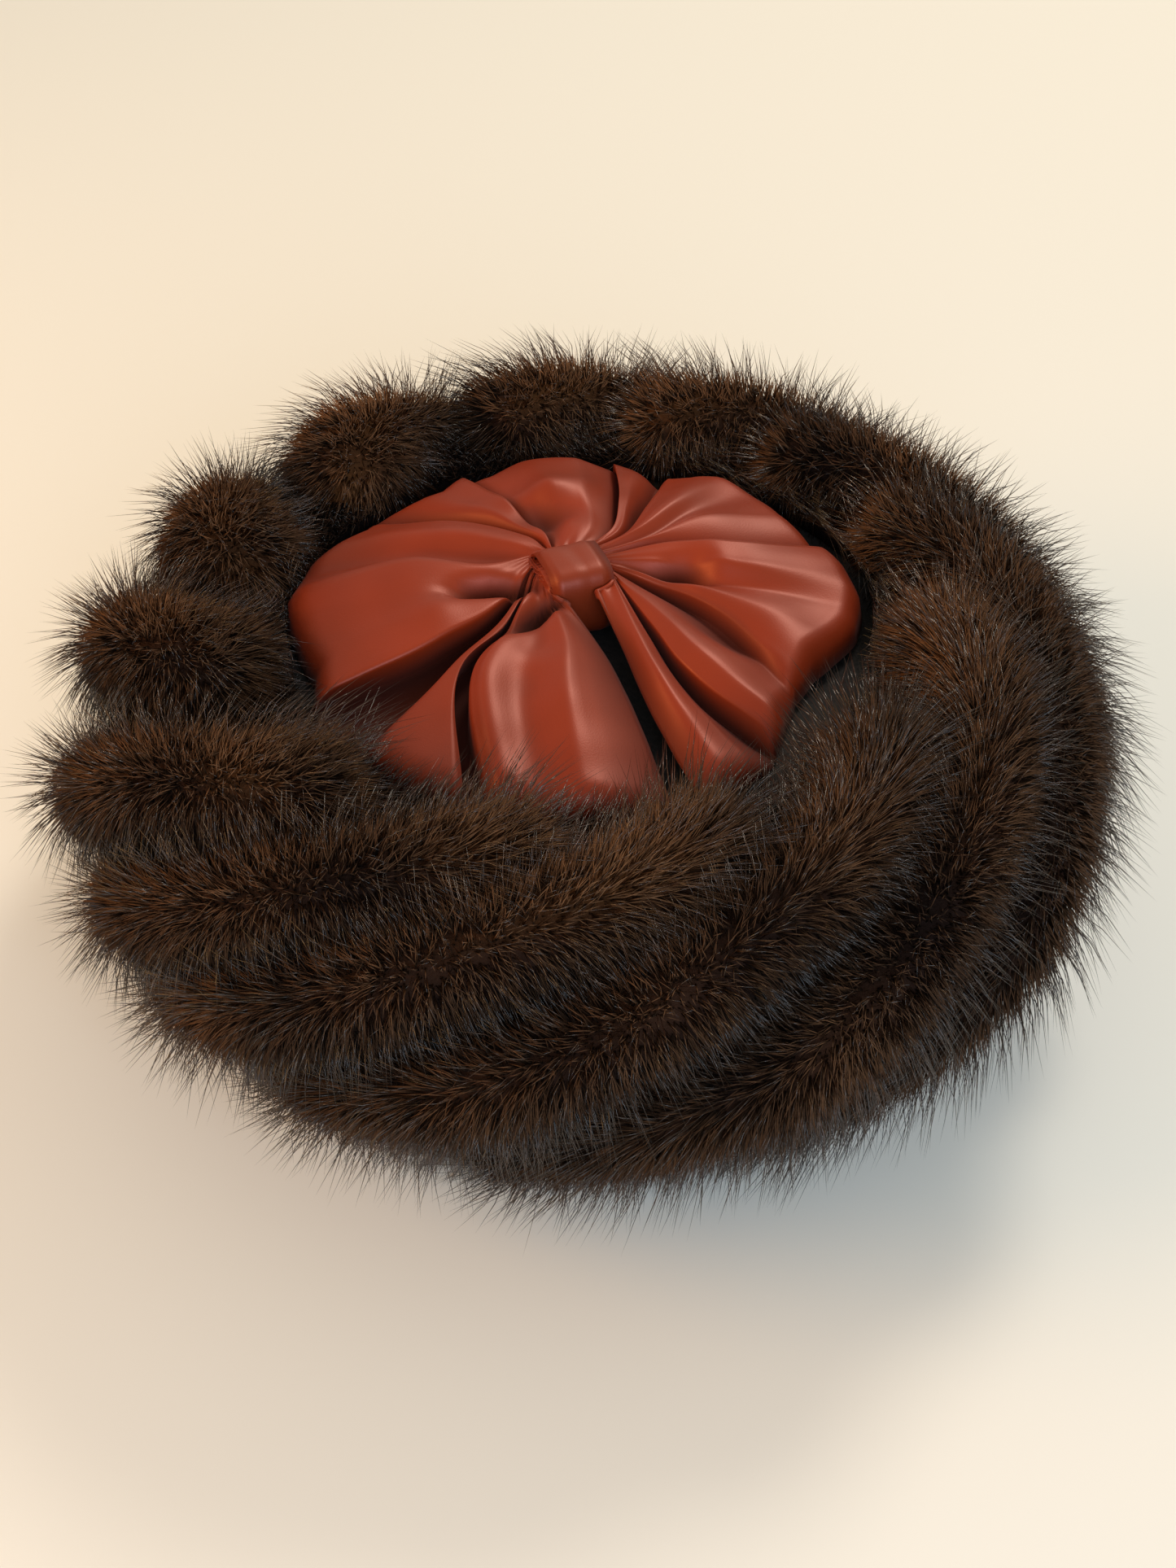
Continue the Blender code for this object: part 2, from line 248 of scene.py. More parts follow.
# share of the sweep, crest radius, crest height, fullness, lean with the crown
crestRows = np.array((
    (0.00, 8.30, 9.40, 1.00, 1.0),
    (0.10, 9.20, 9.65, 1.00, 0.8),
    (0.22, 9.95, 9.60, 1.00, 0.5),
    (0.34, 10.70, 9.35, 1.00, 0.3),
    (0.45, 11.45, 8.70, 1.00, 0.0),
    (0.56, 12.20, 7.60, 1.00, 0.0),
    (0.70, 12.75, 5.90, 1.00, 0.0),
    (0.85, 12.10, 3.80, 0.85, 0.0),
    (1.00, 10.20, 1.35, 0.60, 0.0),
))
# name, azimuth of the inner end, sweep, width, the hair's lean to the inner end, amber share
rolls = (
    ("backRight", 77, 72, 2.3, -0.15, 0.70),
    ("back", 105, 62, 2.6, -0.10, 0.95),
    ("backLeft", 136, 54, 3.0, 0.10, 0.80),
    ("leftBack", 168, 48, 3.1, 0.20, 0.65),
    ("left", 198, 50, 3.1, 0.25, 0.60),
    ("leftFront", 230, 58, 2.8, 0.30, 0.80),
    ("frontLeft", 260, 70, 2.5, 0.35, 0.45),
    ("front", 286, 80, 2.5, 0.40, 0.70),
    ("frontRight", 318, 88, 2.4, 0.35, 0.45),
    ("rightFront", 350, 88, 2.6, 0.15, 0.90),
    ("right", 380, 84, 2.4, -0.10, 0.30),
    ("rightBack", 409, 78, 2.3, -0.20, 0.40),
)
# name, square cm, first and last row of backingRows, hair's sweep inward, onward, down, amber
bareParts = (
    ("fur_inner_rim", 45.0, 5, 7, 0.45, 0.35, 0.0, 0.05),
    ("fur_lower_wall", 160.0, 0, 5, 0.0, -0.5, 0.9, 0.04),
)
# radius, height and lean of the section of the ring that carries the rolls
backingRows = np.array((
    (9.75, 0.0, 1.0), (10.1, 1.7, 0.5), (11.1, 4.0, 0.0), (11.2, 5.9, 0.0), (10.4, 7.5, 0.0),
    (9.4, 8.2, 0.5), (8.3, 8.3, 1.0), (7.45, 8.1, 1.0), (7.45, 7.7, 1.0), (8.3, 7.55, 1.0),
    (8.9, 7.0, 1.0), (9.06, 6.2, 1.0), (9.06, 0.0, 1.0),
))


def crestLine(roll, share):
    # azimuth falls evenly with the share, the rest is the mean of five close readings of
    # crestRows; the inner end then moves out by the front's shift and in by the right's
    share = np.clip(share, 0, 1)
    azimuth = np.radians(roll[1] - roll[2] * share)
    near = share[..., None] + np.linspace(-0.04, 0.04, 5)
    radius, height, full, lean = (
        np.interp(near, crestRows[:, 0], crestRows[:, k]).mean(-1) for k in range(1, 5)
    )
    heading = np.stack([np.cos(azimuth), np.sin(azimuth), np.zeros_like(azimuth)], -1)
    shift = furBand["frontShift"] * np.clip(-np.sin(azimuth), 0, 1)
    shift = shift - furBand["rightShift"] * np.clip(np.cos(azimuth), 0, 1)
    radius = radius + shift * bell(share, furBand["shiftReach"])
    line = heading * radius[..., None]
    line[..., 1] += crownBack * lean
    line[..., 2] += height
    outward = heading * (radius - furBand["sectionCentre"][0])[..., None]
    outward[..., 2] = height - furBand["sectionCentre"][1]
    return line, unit(outward), full[..., None]


def rollRing(roll, along):
    # place and directions of a roll's ring. along is 0 to 1 on the crest line, and a rounded
    # end runs on to -1 at the inner tip and to 2 at the lower tip: there reach is the sine of
    # how far past the line it is, and the ring thins by the root of 1 less its square
    share = np.clip(along, 0, 1)
    past = share - along
    reach = (np.sin(np.clip(np.abs(past), 0, 1) * np.pi / 2) * np.sign(past))[..., None]
    line, outward, full = crestLine(roll, share)
    ahead = unit(crestLine(roll, share - 0.01)[0] - crestLine(roll, share + 0.01)[0])
    outward = unit(outward - ahead * dot(outward, ahead))
    thin = full * np.sqrt(1 - reach**2)
    return line, ahead, outward, np.cross(ahead, outward), full, reach, thin


def rollSurface(roll, along, around, size=1.0):
    # an oval carried along the crest line: its middle, plus outward times depth times cosine,
    # plus across times half the width times sine
    line, ahead, outward, across, full, reach, thin = rollRing(roll, along)
    cosine, sine = np.cos(around)[..., None], np.sin(around)[..., None]
    depth = np.where(cosine > 0, furBand["rollDepth"], furBand["rollBack"])
    halfWidth = roll[3] / 2
    centre = line - outward * furBand["rollDepth"] * full
    centre = centre + ahead * furBand["endReach"] * full * reach
    size = size * (1 + furBand["innerSwell"] * bell(along, furBand["swellReach"]))[..., None]
    point = centre + (outward * depth * cosine + across * halfWidth * sine) * thin * size
    normal = (outward * cosine / depth + across * sine / halfWidth) * np.sqrt(1 - reach**2)
    normal = unit(normal + ahead * reach / furBand["endReach"])
    fall = unit(across * halfWidth * cosine - outward * depth * sine) * sine * np.abs(sine)
    return point, normal, ahead, fall


def insideRoll(roll, points):
    # nearest ring of the roll's line, then the oval's own equation in that ring's frame
    size = furBand["peltShare"] * furBand["coverShare"]
    along = np.linspace(-0.5, 1.5, 56)
    _, ahead, outward, across, _, _, thin = rollRing(roll, along)
    outer = rollSurface(roll, along, np.zeros_like(along))[0]
    centre = outer - outward * furBand["rollDepth"] * thin
    gap = ((points[:, None, :] - centre[None]) ** 2).sum(-1)
    ring = gap.argmin(1)
    away = points - centre[ring]
    out = (away * outward[ring]).sum(-1)
    side = (away * across[ring]).sum(-1) / (roll[3] / 2)
    out = out / np.where(out > 0, furBand["rollDepth"], furBand["rollBack"])
    front = (away * ahead[ring]).sum(-1)
    within = np.abs(front) < furBand["ringReach"]
    return (out**2 + side**2 < (size * thin[ring, 0]) ** 2) & within


def rootIsFree(roll, points):
    # above the floor, outside the backing's section or over its top, outside the crown's oval
    # and not inside another roll
    lowest, sunk, backingTop = 0.12, 0.02, 8.28
    free = points[:, 2] > lowest
    outer = backingRows[:7]
    edge = np.interp(points[:, 2], outer[:, 1], outer[:, 0])
    lean = np.interp(points[:, 2], outer[:, 1], outer[:, 2])
    fromMiddle = np.hypot(points[:, 0], points[:, 1] - crownBack * lean)
    free &= (fromMiddle > edge - sunk) | (points[:, 2] > backingTop)
    fromCrown = (points[:, :2] - crownMiddle) / crownRadii
    free &= np.hypot(fromCrown[:, 0], fromCrown[:, 1]) > 1
    for other in rolls:
        if other is not roll:
            free &= ~insideRoll(other, points)
    return free


def rootCells(roll):
    # middle and area of each cell of a grid over the pelt, half the length of its diagonals'
    # cross product, and 0 where no hair can stand
    along = np.linspace(-0.98, 1.9, 97)
    around = np.linspace(-0.82, 0.82, 49) * np.pi
    gridAlong, gridAround = np.meshgrid(along, around, indexing="ij")
    corner = rollSurface(roll, gridAlong, gridAround, furBand["peltShare"])[0]
    first = corner[1:, 1:] - corner[:-1, :-1]
    second = corner[1:, :-1] - corner[:-1, 1:]
    area = np.linalg.norm(np.cross(first, second), axis=-1).ravel() / 2
    middle = ((corner[1:, 1:] + corner[:-1, :-1]) / 2).reshape(-1, 3)
    area = area * rootIsFree(roll, middle)
    midAlong = ((gridAlong[1:, 1:] + gridAlong[:-1, :-1]) / 2).ravel()
    midAround = ((gridAround[1:, 1:] + gridAround[:-1, :-1]) / 2).ravel()
    return area, midAlong, midAround, along[1] - along[0], around[1] - around[0]


def scatter(cells, count, rng):
    # cells picked in proportion to their area, each root moved at random inside its cell
    area, midAlong, midAround, stepAlong, stepAround = cells
    pick = rng.choice(len(area), count, p=area / area.sum())
    return (
        midAlong[pick] + (rng.random(count) - 0.5) * stepAlong,
        midAround[pick] + (rng.random(count) - 0.5) * stepAround,
    )


def patches(points, scale, phase):
    # soft patches from 0 to 1: three crossed waves of unlike length
    x, y, z = (points * scale).T
    wave = np.sin(1.3 * x + 0.7 * y + phase) + np.sin(0.9 * y - 1.6 * z + 2 * phase)
    wave = wave + np.sin(1.9 * z + 1.1 * x - 0.8 * y + 3 * phase)
    return np.clip(0.5 + wave / 5, 0, 1)


def hairTips(lean, root, normal, ahead, fall, length, rng, stray):
    # aim is the pelt's normal, plus the sweep off the crest, along the roll and, on the outer
    # side, down, plus a random part; the bend is a share of the sweep less one of the normal
    outside = (1 - np.abs(normal[:, 2:])) * np.clip(root[:, 2:] / 3, 0.2, 1)
    down = np.array([0, 0, -1.0]) * outside
    swept = fall * furBand["comb"] + ahead * lean[:, None] + down * furBand["droop"]
    aim = unit(normal + swept + rng.normal(0, stray, root.shape))
    onward, back = furBand["bend"]
    bend = swept * onward - normal * back
    return aim * length[:, None], bend * length[:, None]


def gather(root, tip, clumpRoot, clumpTip, strength):
    # each tip moves part of the way to the tip of its nearest clump
    near = ((root[:, None, :] - clumpRoot[None]) ** 2).sum(-1).argmin(1)
    target = clumpTip[near] + furBand["lockSpread"] * (root - clumpRoot[near])
    return (target - tip) * strength


def keepClear(points):
    # no lower than the floor's height, what rises past a height cut by a share, and clear of
    # the satin: beside it by a radius, or over its rim at the front by a height
    points[..., 2] = np.maximum(points[..., 2], hairRoom["floor"])
    over = np.maximum(points[..., 2] - hairRoom["pressFrom"], 0)
    points[..., 2] -= hairRoom["pressShare"] * over
    away = points[..., :2] - crownMiddle
    radius = np.maximum(np.hypot(away[..., 0], away[..., 1]), 1e-6)
    front = ease(-away[..., 1], hairRoom["frontFrom"], hairRoom["frontOver"])
    beside = hairRoom["besideSatin"] - hairRoom["rightLess"] * np.clip(away[..., 0] / 5, 0, 1)
    wanted = np.maximum(radius, beside * (1 - front))
    points[..., :2] = away * (wanted / radius)[..., None] + crownMiddle
    lowest = np.interp(wanted, hairRoom["rimRadii"], hairRoom["rimHeights"])
    points[..., 2] = np.maximum(points[..., 2], lowest)
    return points


def hairMesh(root, aim, bend, pull, width, thick, tone, ends):
    # three-sided spindle along root + t*aim + t^2*(bend + pull), its last ring drawn to a point
    count, rings = len(root), len(thick)
    t = np.linspace(0, 1, rings + 1)[None, :, None]
    line = keepClear(root[:, None] + t * aim[:, None] + t**2 * (bend + pull)[:, None])
    direction = unit(line[:, -1] - line[:, 0])
    side = unit(np.cross(direction, np.array([0.31, 0.52, 0.80])))
    other = np.cross(direction, side)
    turn = (np.arange(3) * 2 * np.pi / 3)[None, :, None]
    ringOffset = np.cos(turn) * side[:, None] + np.sin(turn) * other[:, None]
    body = [
        line[:, k, None] + ringOffset * (width * thick[k] / 2)[:, None, None]
        for k in range(rings)
    ]
    points = np.concatenate(body + [line[:, -1:]], 1).reshape(-1, 3)
    each = 3 * rings + 1
    faces = [(0, 2, 1)]
    for k in range(rings - 1):
        low, high = 3 * k, 3 * k + 3
        for j in range(3):
            after = (j + 1) % 3
            faces += [(low + j, low + after, high + after), (low + j, high + after, high + j)]
    low = 3 * rings - 3
    faces += [(low + j, low + (j + 1) % 3, each - 1) for j in range(3)]
    faces = (np.arange(count)[:, None, None] * each + np.array(faces)[None]).reshape(-1, 3)
    spread = np.array([-0.02, 0.0, 0.02] * rings + [0.0])
    level = np.repeat(np.linspace(*ends, rings + 1), [3] * rings + [1])
    uv = np.stack([tone[:, None] + spread[None], np.broadcast_to(level, (count, each))], -1)
    return points, faces, uv.reshape(-1, 2)


def makeHairMaterial(name):
    # the map's u mixes dark and amber, times fine streaks, the sine of u times 330; its v is
    # root to tip, underfur below 0.5 and guard hair above
    material, tree, shader = newMaterial(name)
    place = addNode(tree, "ShaderNodeUVMap", uv_map="OFBake")
    split = addNode(tree, "ShaderNodeSeparateXYZ")
    blend = addNode(tree, "ShaderNodeMix", data_type="RGBA")
    wave = addNode(tree, "ShaderNodeMath", operation="MULTIPLY")
    streak = addNode(tree, "ShaderNodeMath", operation="SINE")
    depth = addNode(tree, "ShaderNodeMapRange")
    shade = addNode(tree, "ShaderNodeMix", data_type="RGBA", blend_type="MULTIPLY", Factor=1.0)
    # both ramps are darkest at the root: painted shade deep in the fur
    dark = addRamp(tree, (
        (0.02, (0.003, 0.002, 0.002)), (0.22, (0.009, 0.006, 0.005)),
        (0.48, (0.014, 0.009, 0.008)), (0.52, (0.006, 0.004, 0.004)),
        (0.80, (0.009, 0.006, 0.005)), (0.98, (0.007, 0.006, 0.006)),
    ))
    amber = addRamp(tree, (
        (0.02, (0.070, 0.031, 0.015)), (0.22, (0.270, 0.124, 0.054)),
        (0.48, (0.330, 0.152, 0.070)), (0.52, (0.110, 0.047, 0.022)),
        (0.80, (0.160, 0.070, 0.034)), (0.98, (0.055, 0.027, 0.016)),
    ))
    shine = addRamp(tree, tuple((v, (rough,) * 3) for v, rough in (
        (0.02, 0.85), (0.48, 0.75), (0.52, 0.20), (0.98, 0.10),
    )))
    setInputs(wave, {1: 330.0})
    setInputs(depth, {"From Min": -1.0, "To Min": 0.45})
    setInputs(shader, {"Specular IOR Level": furBand[name]["gloss"]})
    joinNodes(
        tree,
        (place, "UV", split, 0),
        (split, "Y", dark, "Fac"), (split, "Y", amber, "Fac"), (split, "Y", shine, "Fac"),
        (split, "X", blend, "Factor"), (dark, "Color", blend, "A"), (amber, "Color", blend, "B"),
        (split, "X", wave, 0), (wave, 0, streak, 0), (streak, 0, depth, "Value"),
        (blend, "Result", shade, "A"), (depth, "Result", shade, "B"),
        (shade, "Result", shader, "Base Color"), (shine, "Color", shader, "Roughness"),
    )
    return material


def makePeltMaterial():
    # skin of the fur: dark to amber by the map's u, the hair's tone with its painted shade, with
    # short fibres raised by bump
    material, tree, shader = newMaterial("furPelt")
    tone = addNode(tree, "ShaderNodeUVMap", uv_map="tone")
    split = addNode(tree, "ShaderNodeSeparateXYZ")
    ramp = addRamp(tree, (
        (0.05, (0.004, 0.002, 0.002)), (0.40, (0.030, 0.012, 0.006)),
        (0.95, (0.110, 0.042, 0.012)),
    ))
    addRelief(tree, shader, 1600.0, 2.0, 0.6, 0.0008)
    setInputs(shader, {"Roughness": 0.9, "Specular IOR Level": 0.1})
    joinNodes(
        tree,
        (tone, "UV", split, 0), (split, "X", ramp, "Fac"), (ramp, "Color", shader, "Base Color"),
    )
    return material


def makeBacking():
    # ring of cloth and skin that carries the rolls: one closed section turned about the middle
    turns = 96
    angle = np.linspace(0, 2 * np.pi, turns, endpoint=False)[:, None]
    radius, height, lean = backingRows.T[:, None]
    points = np.stack([
        radius * np.cos(angle),
        radius * np.sin(angle) + crownBack * lean,
        np.broadcast_to(height, (turns, len(backingRows))),
    ], -1)
    return points.reshape(-1, 3), gridQuads(turns, len(backingRows), True, True)


def amberTone(number, roll, along, around, root):
    # 0 dark to 1 amber: brown along the crest, dark on the flanks and lower down as painted shade,
    #                    warmer in patches and towards the inner end
    # painted shade: dark on the flanks, in the valleys between the rolls
    crest = bell(around, 0.95)
    warm = 0.30 + 0.70 * bell(np.clip(along, 0, 1), 0.35)
    # painted shade on the underside: darker lower down
    warm = warm * np.clip(0.25 + root[:, 2] / 8, 0, 1)
    patch = patches(root, furBand["tonePatch"], number * 1.7)
    return crest * (0.12 + warm * patch * (0.40 + roll[5]))


def makePelt(material):
    # the backing and the twelve rolls at the pelt's size, both tips of a roll drawn to a pole
    backing, backingFaces = makeBacking()
    parts, tones, faces = [backing], [np.zeros(len(backing))], [backingFaces[:, ::-1]]
    total = len(backing)
    along = np.concatenate([
        np.linspace(-0.98, 0, 8), np.linspace(0, 1, 26)[1:], np.linspace(1, 1.98, 7)[1:],
    ])
    around = np.linspace(0, 2 * np.pi, 22, endpoint=False)
    lowest = 0.06
    for number, roll in enumerate(rolls):
        gridAlong, gridAround = np.meshgrid(along, around, indexing="ij")
        body = rollSurface(roll, gridAlong, gridAround, furBand["peltShare"])[0]
        body[..., 2] = np.maximum(body[..., 2], lowest)
        body[0], body[-1] = body[0].mean(0), body[-1].mean(0)
        parts.append(body.reshape(-1, 3))
        turned = np.where(gridAround > np.pi, gridAround - 2 * np.pi, gridAround)
        tones.append(amberTone(number, roll, gridAlong.ravel(), turned.ravel(), parts[-1]))
        faces.append(gridQuads(len(along), len(around), False, True) + total)
        total += body.size // 3
    points = np.concatenate(parts)
    uv = np.stack([np.concatenate(tones), points[:, 2] / 10], -1)
    return meshPiece("fur_pelt", toFrame(points), np.concatenate(faces), material, uv, "tone")


def rollRoots(number, roll, cells, rng):
    # gives a function that picks a number of roots on one roll, with all that their hair needs
    def roots(count):
        # the lean is fan times a smooth step along the roll, plus the roll's own; the length
        # falls on the flanks and near the floor and grows at the inner end
        along, around = scatter(cells, count, rng)
        root, normal, ahead, fall = rollSurface(roll, along, around, furBand["peltShare"])
        step = np.tanh((furBand["fanMiddle"] - along) / furBand["fanSoftness"])
        lean = furBand["fan"] * step + 0.5 * (roll[4] - 0.2)
        amber = amberTone(number, roll, along, around, root)
        short = 1.05 - 0.68 * ease(np.abs(around), 0.55, 1.1)
        short = short * np.clip(0.55 + root[:, 2] / 5, 0, 1) * (1 + 0.35 * bell(along, 0.12))
        return root, normal, ahead, fall, lean, amber, short

    return roots


def backingRoots(first, last, inward, onward, down, amber, rng):
    # the same for the bare backing between two rows of its section
    rows = backingRows[first:last + 1]
    step = np.diff(rows[:, :2], axis=0)
    way = np.concatenate([[0], np.cumsum(np.hypot(*step.T))])

    def roots(count):
        # places picked evenly round the hat and along the section, some for each that is
        # wanted, and those under a roll left out; the sweep is the three shares together
        tries, lowest = 6, 0.15
        angle = rng.random(count * tries) * 2 * np.pi
        place = rng.random(count * tries) * way[-1]
        radius, height, lean = (np.interp(place, way, rows[:, k]) for k in range(3))
        row = np.clip(np.searchsorted(way, place) - 1, 0, len(step) - 1)
        root = np.stack([
            radius * np.cos(angle), radius * np.sin(angle) + crownBack * lean, height,
        ], -1)
        free = height > lowest
        for roll in rolls:
            free &= ~insideRoll(roll, root)
        root, angle, tilt = root[free][:count], angle[free][:count], step[row[free][:count]]
        full = np.ones(len(root))
        out = np.stack([np.cos(angle), np.sin(angle), 0 * angle], -1)
        sideways = np.stack([-np.sin(angle), np.cos(angle), 0 * angle], -1)
        normal = unit(out * tilt[:, 1:] - np.array([0, 0, 1]) * tilt[:, :1])
        sweep = sideways * onward - out * inward - np.array([0, 0, down])
        return root, normal, sweep, 0 * root, full, amber * full, furBand["bareLength"] * full

    return roots


def strand(roots, asked, kind, rng):
    # a number of hairs: root, straight way, bend, and the pull of the nearest lock on three
    # hairs in four
    shortest, longest = kind["length"]
    root, normal, ahead, fall, lean, amber, short = roots(asked)
    count = len(root)
    length = (shortest + (longest - shortest) * rng.random(count) ** 1.3) * short
    aim, bend = hairTips(lean, root, normal, ahead, fall, length, rng, kind["stray"])
    clump = roots(asked // kind["perLock"])
    clumpLength = (shortest * 0.3 + longest * 0.7) * clump[6]
    clumpAim, clumpBend = hairTips(clump[4], *clump[:4], clumpLength, rng, kind["stray"] * 0.7)
    drawn = (rng.random(count) < 0.75)[:, None]
    keep = drawn * kind["pull"] * rng.random((count, 1)) ** 0.5
    pull = gather(root, root + aim + bend, clump[0], clump[0] + clumpAim + clumpBend, keep)
    return root, aim, bend, pull, amber


def makeHair(name, roots, share, rng, materials):
    # underfur and guard hair in one mesh, of each kind this piece's share
    meshes = []
    for kindName in hairKinds:
        kind = furBand[kindName]
        *hairs, amber = strand(roots, int(kind["count"] * share), kind, rng)
        least, most = kind["tone"]
        tone = np.clip(least + most * amber + rng.normal(0, 0.08, len(amber)), 0.03, 0.97)
        width = kind["width"] * (0.75 + 0.5 * rng.random(len(amber)))
        meshes.append(hairMesh(*hairs, width, kind["thick"], tone, kind["v"]))
    under, guard = meshes
    points = toFrame(np.concatenate([under[0], guard[0]]))
    faces = np.concatenate([under[1], guard[1] + len(under[0])])
    uv = np.concatenate([under[2], guard[2]])
    piece = meshPiece(name, points, faces, materials[0], uv, "OFBake")
    piece.data.materials.append(materials[1])
    isGuard = (np.arange(len(faces)) >= len(under[1])).astype(np.int32)
    piece.data.polygons.foreach_set("material_index", isGuard)
    return piece


furPieces = [makePelt(makePeltMaterial())]
print("pelt made")
hairMaterials = [makeHairMaterial(name) for name in hairKinds]
cellsOf = [rootCells(roll) for roll in rolls]
allArea = sum(cells[0].sum() for cells in cellsOf) + sum(part[1] for part in bareParts)
for number, roll in enumerate(rolls):
    rng = np.random.default_rng(furBand["seed"] + number)
    roots = rollRoots(number, roll, cellsOf[number], rng)
    share = cellsOf[number][0].sum() / allArea
    furPieces.append(makeHair("fur_roll_" + roll[0], roots, share, rng, hairMaterials))
for name, area, *sweep in bareParts:
    rng = np.random.default_rng(furBand["seed"] + len(furPieces))
    roots = backingRoots(*sweep, rng)
    furPieces.append(makeHair(name, roots, area / allArea, rng, hairMaterials))
for piece in furPieces:
    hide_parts("fur_band")
    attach(piece, "root")
print("hair made, area", round(allArea), "square cm")


# lengths in cm
satin = {
    "knotCentre": (-0.38, 1.80),
    "fanCentre": (0.0, 1.5),
    "knotTurn": 21.0,
    "collarRadii": (0.80, 0.93),
    "collarSquareness": 5.0,
    "collarSpread": 0.06,
    "collarRows": 6,
    "waistRows": 4,
    "knotRelief": 0.25,  # how much of the folds' height is left at the knot
    "usualHeights": (0.36, 0.80, 1.05, 0.80),  # of a fold at the four stations
    "innerReach": 0.9,  # distance from the knot at which the fan begins
    "rootSpread": 40.0,
    "rootHeight": 9.26,
    "collarHeight": 8.85,
    "rootArch": 0.11,
    "rimHeight": 7.86,
    "domePower": 1.6,
    "columns": 190,
    "fanRows": 50,
    "tuckFrom": 0.90,  # share of the way out where the cloth begins to turn down
    "thickness": 0.05,
    "wrinkle": 0.022,  # height of the fine gathers at the knot
    "drape": 0.014,  # and of the slow waves farther out
    "paintedFoldShade": 0.10,  # how dark the painted shade makes the cloth deep in the folds
    "roughness": (0.43, 0.95),  # on the ridges and deep in the folds
    "colour": (0.24, 0.025, 0.005),
    "knotColour": (0.20, 0.024, 0.006),
}
pleatStations = (0.0, 0.25, 0.5, 1.0)
# One row for each line of the fold pattern, ridges and valleys in turn, from the back gap round
# to the front one. Azimuths and heights are given at the knot, a quarter out, halfway and at the
# rim; edge is 0 for a soft line, 1 for a crisp ridge and 2 for a cut valley.
# name, four azimuths, four heights over the dome, edge
leftLines = (
    ("hem under", 66, 71, 76, 80, 0.02, 0.05, 0.05, 0.10, 1.0),
    ("back gap", 72, 76, 80.5, 84, 0.20, 0.45, 0.65, 0.60, 1.0),
    ("facet ridge", 80, 88, 91.5, 93, 0.40, 0.80, 1.10, 0.95, 1.0),
    ("top pleat", 96, 100, 103, 105, 0.42, 0.85, 1.20, 1.05, 0.0),
    ("top pleat side", 110, 112, 114, 116, 0.30, 0.62, 0.85, 0.85, 0.3),
    ("first valley", 119, 121, 122.5, 124, 0.05, 0.12, 0.20, 0.30, 2.0),
    ("upper flap edge", 118, 119.5, 120.5, 122, 0.36, 0.78, 1.02, 0.90, 1.0),
    ("upper flap", 121, 123.5, 128, 135, 0.36, 0.75, 0.98, 0.85, 0.2),
    ("second valley", 123, 127.5, 135, 147, 0.06, 0.28, 0.38, 0.36, 1.6),
    ("lit edge", 126, 131, 140, 151, 0.34, 0.76, 0.98, 0.72, 0.8),
    ("lit ridge", 134, 145, 152, 160, 0.40, 0.86, 1.12, 0.78, 0.0),
    ("lit trough", 142, 158, 164, 170, 0.26, 0.50, 0.76, 0.62, 0.0),
    ("big pleat ridge", 151, 178, 176, 181, 0.42, 1.02, 1.40, 0.92, 0.8),
    ("big pleat belly", 161, 197, 200, 198, 0.42, 0.86, 1.16, 0.82, 0.1),
    ("big pleat edge", 172, 210, 215, 211, 0.38, 0.80, 1.05, 0.75, 1.0),
    ("third valley", 169, 204, 210, 208, 0.00, 0.02, 0.00, 0.02, 1.0),
    ("third floor", 174, 213, 221, 224, 0.00, 0.02, 0.00, 0.02, 1.0),
    ("strip left edge", 177, 217, 224, 228, 0.34, 0.62, 0.78, 0.52, 1.0),
    ("strip right edge", 181, 222, 227.5, 249, 0.34, 0.66, 0.82, 0.55, 0.6),
    ("fourth valley", 182, 215, 223, 246, 0.00, 0.00, 0.00, 0.04, 1.0),
    ("fourth floor", 185, 221, 231, 252, 0.00, 0.00, 0.00, 0.04, 1.0),
    ("fall left edge", 189, 224, 232, 253, 0.34, 0.66, 0.90, 0.50, 0.8),
    ("fall left ridge", 194, 227, 237, 256, 0.38, 0.82, 1.14, 0.72, 0.0),
    ("fall middle", 208, 243, 250, 262.5, 0.28, 0.60, 0.82, 0.54, 0.0),
    ("fall ridge", 226, 258, 263.5, 269.5, 0.38, 0.84, 1.12, 0.74, 1.0),
    ("front gap", 262, 280, 284, 285, 0.10, 0.22, 0.34, 0.26, 1.0),
    ("hem below", 255, 272, 277, 279, 0.02, 0.04, 0.05, 0.06, 1.0),
)
